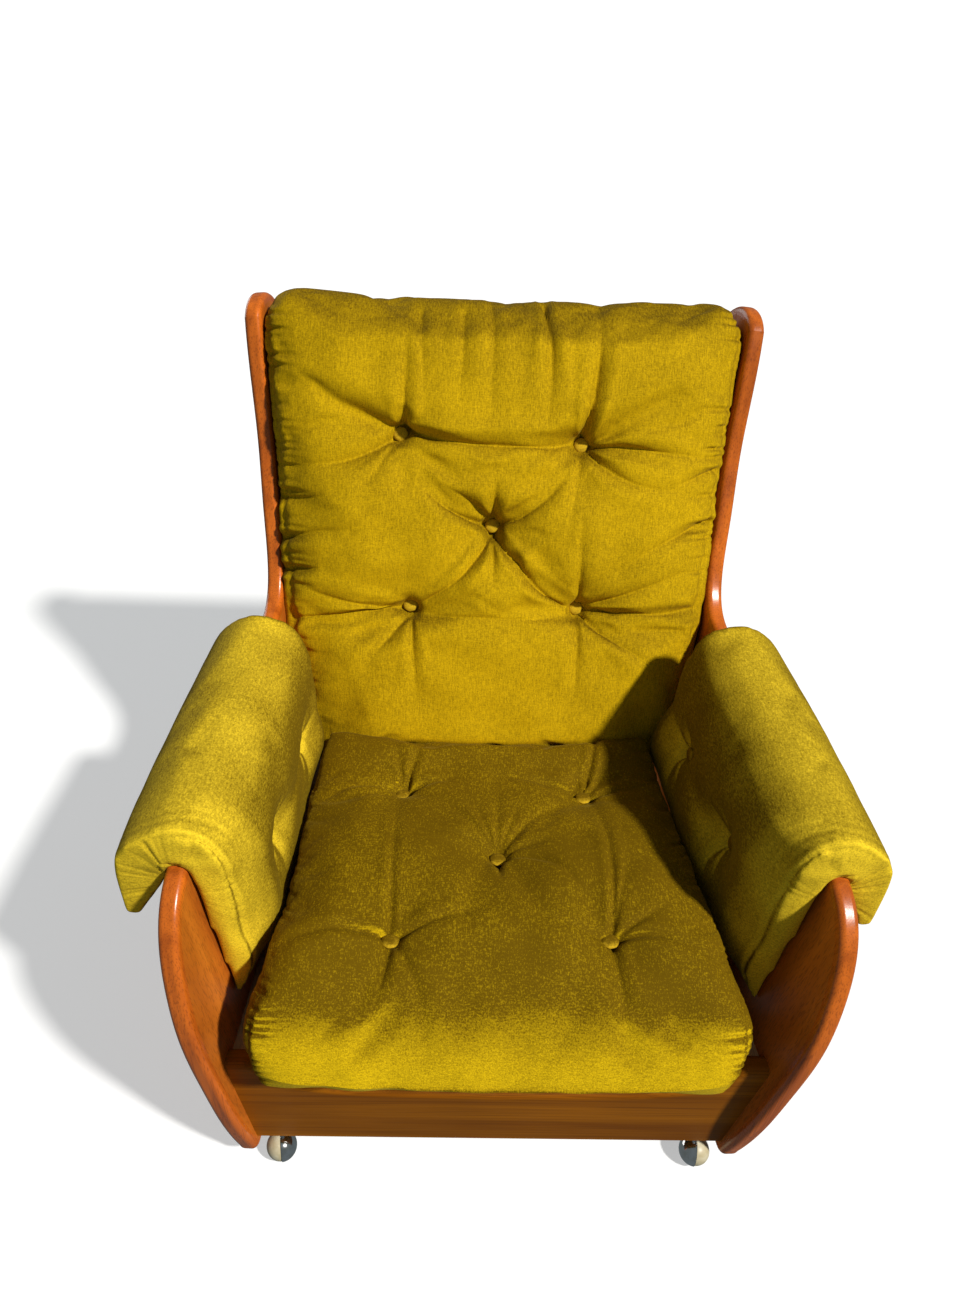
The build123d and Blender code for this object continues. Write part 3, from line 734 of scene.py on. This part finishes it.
def make_back():
    plugs = [back_place(x, up) + BACK_NORMAL for x, up in CAD_BACK_TUFTS]
    obj = soft_copy("back_cover", "back_cushion", CUSHION_VOXEL, 6, plugs, BACK_NORMAL, BACK_PLUG)
    mesh = obj.data
    points, normals = points_of(mesh), normals_of(mesh)
    # Held: the rear, the sides and the buttons.
    facing = normals @ BACK_NORMAL
    held = np.maximum(smoothstep(0.6, 0.9, -facing), smoothstep(0.8, 0.95, np.abs(normals[:, 0])))
    held = hold_buttons(held, back_plan(points), BACK_BUTTONS.values(), facing > 0)
    inflate(obj, held.astype(float), shrink=2, pressure=4.0, cap=20, slack=0.02)
    mesh = refine(obj, levels=2)
    points, normals = points_of(mesh), normals_of(mesh)
    # Outline: wider low down, a crowned face and a top that rolls back.
    low = smoothstep(400, 220, (points - BACK_FOOT) @ BACK_UP)
    points[:, 0] += np.sign(points[:, 0]) * 8 * low * smoothstep(150, 270, np.abs(points[:, 0]))
    points[:, 0] = points[:, 0] * BACK_SPREAD + BACK_SHIFT
    local = points - BACK_FOOT
    plan = back_plan(points)
    facing = normals @ BACK_NORMAL
    on_face = smoothstep(-0.1, 0.4, facing)
    crown = np.clip(1 - ((plan[:, 1] - 270) / 350) ** 2, 0, 1) * np.clip(1 - (plan[:, 0] / 340) ** 2, 0, 1)
    roll = np.clip((plan[:, 1] - 430) / 200, 0, 1.1) ** 2
    front_share = np.clip(1 + (local @ BACK_NORMAL) / BACK_DEPTH, 0, 1)
    points += BACK_NORMAL * (BACK_CROWN * crown * on_face - BACK_ROLL * roll * front_share)[:, None]
    points += BACK_UP * (BACK_REACH * smoothstep(470, 640, plan[:, 1]) * (1 - plan[:, 0] / 1000))[:, None]
    # Folds and tufts on the face.
    folds = np.zeros((2, len(points)))
    for button, bearing, length, bend, depth, width, far_end in BACK_FOLDS:
        deep, broad = depth * BACK_FOLD_GAIN, width * BACK_FOLD_SPREAD
        press(plan, folds, BACK_BUTTONS[button], bearing, length, bend, deep, broad, far_end)
    for start, bearing, length, bend, depth, width in BACK_LOOSE:
        deep, broad = depth * BACK_FOLD_GAIN, width * BACK_FOLD_SPREAD
        press(plan, folds, start, bearing, length, bend, deep, broad, 0.2)
    sink = pressed(folds) * smoothstep(-30, 60, plan[:, 1]) + 1.5 * wander(plan, seed=2.0, pitch=82)
    for spot in BACK_BUTTONS.values():
        sink += tuft(plan, spot, depth=24, narrow=11, wide=58)
    sink *= on_face
    # The side seams and the gathers along them.
    edge = np.abs(plan[:, 0] - BACK_SHIFT) / BACK_SPREAD - back_half(plan[:, 1])
    seam = bell(edge + 6, 4.5) * smoothstep(-0.6, 0.0, facing)
    band = bell(edge + 16, 20) * smoothstep(-0.5, 0.1, facing)
    gathers = ruffle(plan[:, 1], np.where(points[:, 0] > 0, 1.1, 3.0), pitch=26)
    sink += 2.8 * seam + (2.0 + 4.0 * smoothstep(150, 300, plan[:, 1])) * band * gathers
    put_points(mesh, points - normals * sink[:, None])
    body = "back_cushion_body"
    dress(obj, velvet_back, body, "back_cushion")
    seats = [back_place(x, up) for x, up in BACK_BUTTONS.values()]
    replaced = "back_buttons"
    cover_buttons(
        obj, "back_covered_buttons", seats, BACK_NORMAL, body, replaced, lift=3.0, radius=11, height=5.5
    )


# ------------------------------------------------------------------ arm saddles
# Half the width between the side panels at the front, at the height PANEL_LEVEL.
PANEL_HALF, PANEL_LEVEL = 318.8, 120
SADDLE_FRONT, SADDLE_REAR = 83, 480
SADDLE_VOXEL = 8
# The arch over the arm: its centre, outwards from the panel's inner face and up, and its radius.
ARCH_OUT, ARCH_UP, ARCH_RADIUS = 15, 480, 62
FLAP_THICK = 34
# Where the buttons sit on the inner flap, in y and z.
ARM_BUTTONS = ((214, 416), (380, 404))
# Bearing, length and depth of the folds round each arm button.
ARM_FOLDS = ((95, 70, 5), (60, 55, 4), (128, 60, 4), (20, 60, 3), (165, 60, 3), (268, 60, 5), (235, 50, 3))
LEAN = math.atan(FLARE)
# How far the outer flap splays at the front beyond its tailored shape.
OUTER_FLARE = {"left": 10.0, "right": 2.0}
# How much more the inner flap fills out against the seat.
SADDLE_FILL = {"left": 2.0, "right": 14.0}


def panel_inner(y, z):
    """Half the width between the side panels."""
    return PANEL_HALF + (z - PANEL_LEVEL) * FLARE - y * TAPER


def panel_offset(points, side):
    """Distance outwards from the side panel's inner face."""
    return (points[:, 0] * side - panel_inner(points[:, 1], points[:, 2])) * math.cos(LEAN)


def make_saddle(name, side):
    """The padded saddle over one arm; side is -1 for the left and 1 for the right."""
    obj = soft_copy(f"{name}_saddle_cover", f"{name}_arm_saddle", SADDLE_VOXEL, smoothing=3)
    mesh = obj.data
    points, normals = points_of(mesh), normals_of(mesh)
    # Held: the walls of the slot that the panel stands in, and the buttons.
    out = panel_offset(points, side)
    slot_wall = (out > -3.5) & (out < 30) & (points[:, 2] < 522)
    inward = -normals[:, 0] * side
    held = hold_buttons(slot_wall.astype(float), points[:, 1:], ARM_BUTTONS, inward > 0.3)
    inflate(obj, held, shrink=0, pressure=2.0, cap=5, slack=-0.01)
    relax(obj, turns=4)
    mesh = refine(obj, levels=2)
    points, normals = points_of(mesh), normals_of(mesh)
    # Outline: the outer flap splays, and the inner flap swells between its buttons.
    out = panel_offset(points, side)
    forward = smoothstep(SADDLE_REAR, SADDLE_FRONT, points[:, 1])
    points[:, 0] += side * smoothstep(30, 75, out) * (4 + OUTER_FLARE[name] * forward)
    lobes = np.ones(len(points))
    for y, z in ARM_BUTTONS:
        lobes -= bell(points[:, 1] - y, 42) * bell(points[:, 2] - z, 55)
    height = smoothstep(262, 330, points[:, 2]) * smoothstep(585, 535, points[:, 2])
    shoulder = smoothstep(470, 530, points[:, 2])
    lobes = np.clip(lobes, 0, 1)
    flap = 7 + (9 + 6 * smoothstep(400, 220, points[:, 1])) * lobes
    swell = flap * (1 - shoulder) + (11 + 3 * lobes) * shoulder
    swell += SADDLE_FILL[name] * smoothstep(440, 380, points[:, 2]) * smoothstep(150, 260, points[:, 1])
    behind = 0.2 + 0.8 * smoothstep(85, 150, points[:, 1])
    points[:, 0] -= side * smoothstep(-2, -22, out) * height * swell * behind
    # Folds and tufts on the inner flap.
    inward = -normals[:, 0] * side
    plan = points[:, 1:]
    face = smoothstep(0.0, 0.5, inward) * (out < -2)
    folds = np.zeros((2, len(points)))
    for spot in ARM_BUTTONS:
        for bearing, length, depth in ARM_FOLDS:
            press(plan, folds, spot, bearing, length, 6, depth, 6)
    sink = pressed(folds) + 1.2 * wander(plan, seed=side, pitch=90)
    for spot in ARM_BUTTONS:
        sink += tuft(plan, spot, depth=12, narrow=10, wide=38)
    sink *= face
    # The seam and the puckers round the front end, away from the slot.
    front = points[:, 1] - SADDLE_FRONT
    rounding = bell(front - 7, 3.5)
    free = ~((out > -4) & (out < 29) & (points[:, 2] < 518))
    lines = 0.5 + 0.5 * np.sin(front * 2 * math.pi / 13 + 0.9 * np.sin(out / 14))
    near_end = bell(front - 26, 20) * smoothstep(0.2, 0.8, normals[:, 2] + 0.3)
    around = np.arctan2(points[:, 2] - ARCH_UP, out - ARCH_OUT) * ARCH_RADIUS
    puckers = ruffle(around, 0.7 + side, pitch=19)
    end_face = smoothstep(0.3, 0.8, -normals[:, 1]) * (front < 12)
    sink += (2.6 * rounding + 0.3 * near_end * lines + (0.6 * end_face + 1.5 * rounding) * puckers) * free
    put_points(mesh, points - normals * sink[:, None])
    body = f"{name}_saddle_body"
    dress(obj, velvet_arm, body, f"{name}_arm_saddle")
    inside = np.array((-side * math.cos(LEAN), 0, math.sin(LEAN)))
    seats = [np.array((side * (panel_inner(y, z) - FLAP_THICK), y, z)) for y, z in ARM_BUTTONS]
    replaced = f"{name}_arm_buttons"
    cover_buttons(
        obj, f"{name}_covered_buttons", seats, inside, body, replaced, lift=2, radius=10, height=5
    )


make_seat()
make_back()
make_saddle("left", -1)
make_saddle("right", 1)


# ------------------------------------------------------------------ stage and light
FLOOR_REACH = 30.0


def make_stage():
    """A pale floor that takes shadows but lends the chair no light, under a dim pale sky."""
    mesh = bpy.data.meshes.new("floor")
    near, far = -FLOOR_REACH, FLOOR_REACH
    mesh.from_pydata([(near, near, 0), (far, near, 0), (far, far, 0), (near, far, 0)], [], [(0, 1, 2, 3)])
    floor = bpy.data.objects.new("floor", mesh)
    scene.collection.objects.link(floor)
    mat, _, bsdf = new_material("floor_pale")
    bsdf.inputs["Base Color"].default_value = (0.6, 0.6, 0.6, 1)
    bsdf.inputs["Emission Color"].default_value = (1, 1, 1, 1)
    bsdf.inputs["Emission Strength"].default_value = 0.45
    bsdf.inputs["Roughness"].default_value = 0.9
    mesh.materials.append(mat)
    floor.visible_diffuse = False
    floor.visible_glossy = False
    world = bpy.data.worlds.new("studio")
    scene.world = world
    world.use_nodes = True
    sky = world.node_tree.nodes["Background"]
    sky.inputs["Color"].default_value = (0.8, 0.95, 1, 1)
    sky.inputs["Strength"].default_value = 0.15
    scene.view_settings.view_transform = "Standard"


def sun(name, towards, strength, softness, colour=(1, 1, 1)):
    """A sun in the direction towards, as seen from the chair, softness degrees across."""
    data = bpy.data.lights.new(name, "SUN")
    data.energy = strength
    data.angle = math.radians(softness)
    data.color = colour
    lamp = bpy.data.objects.new(name, data)
    lamp.rotation_euler = Vector(towards).to_track_quat("Z", "Y").to_euler()
    scene.collection.objects.link(lamp)


make_stage()
sun("key", (0.55, -0.365, 0.75), 3.9, 4, (1.0, 0.98, 0.94))
sun("fill", (-0.7, 0.75, 0.1), 1.0, 45)
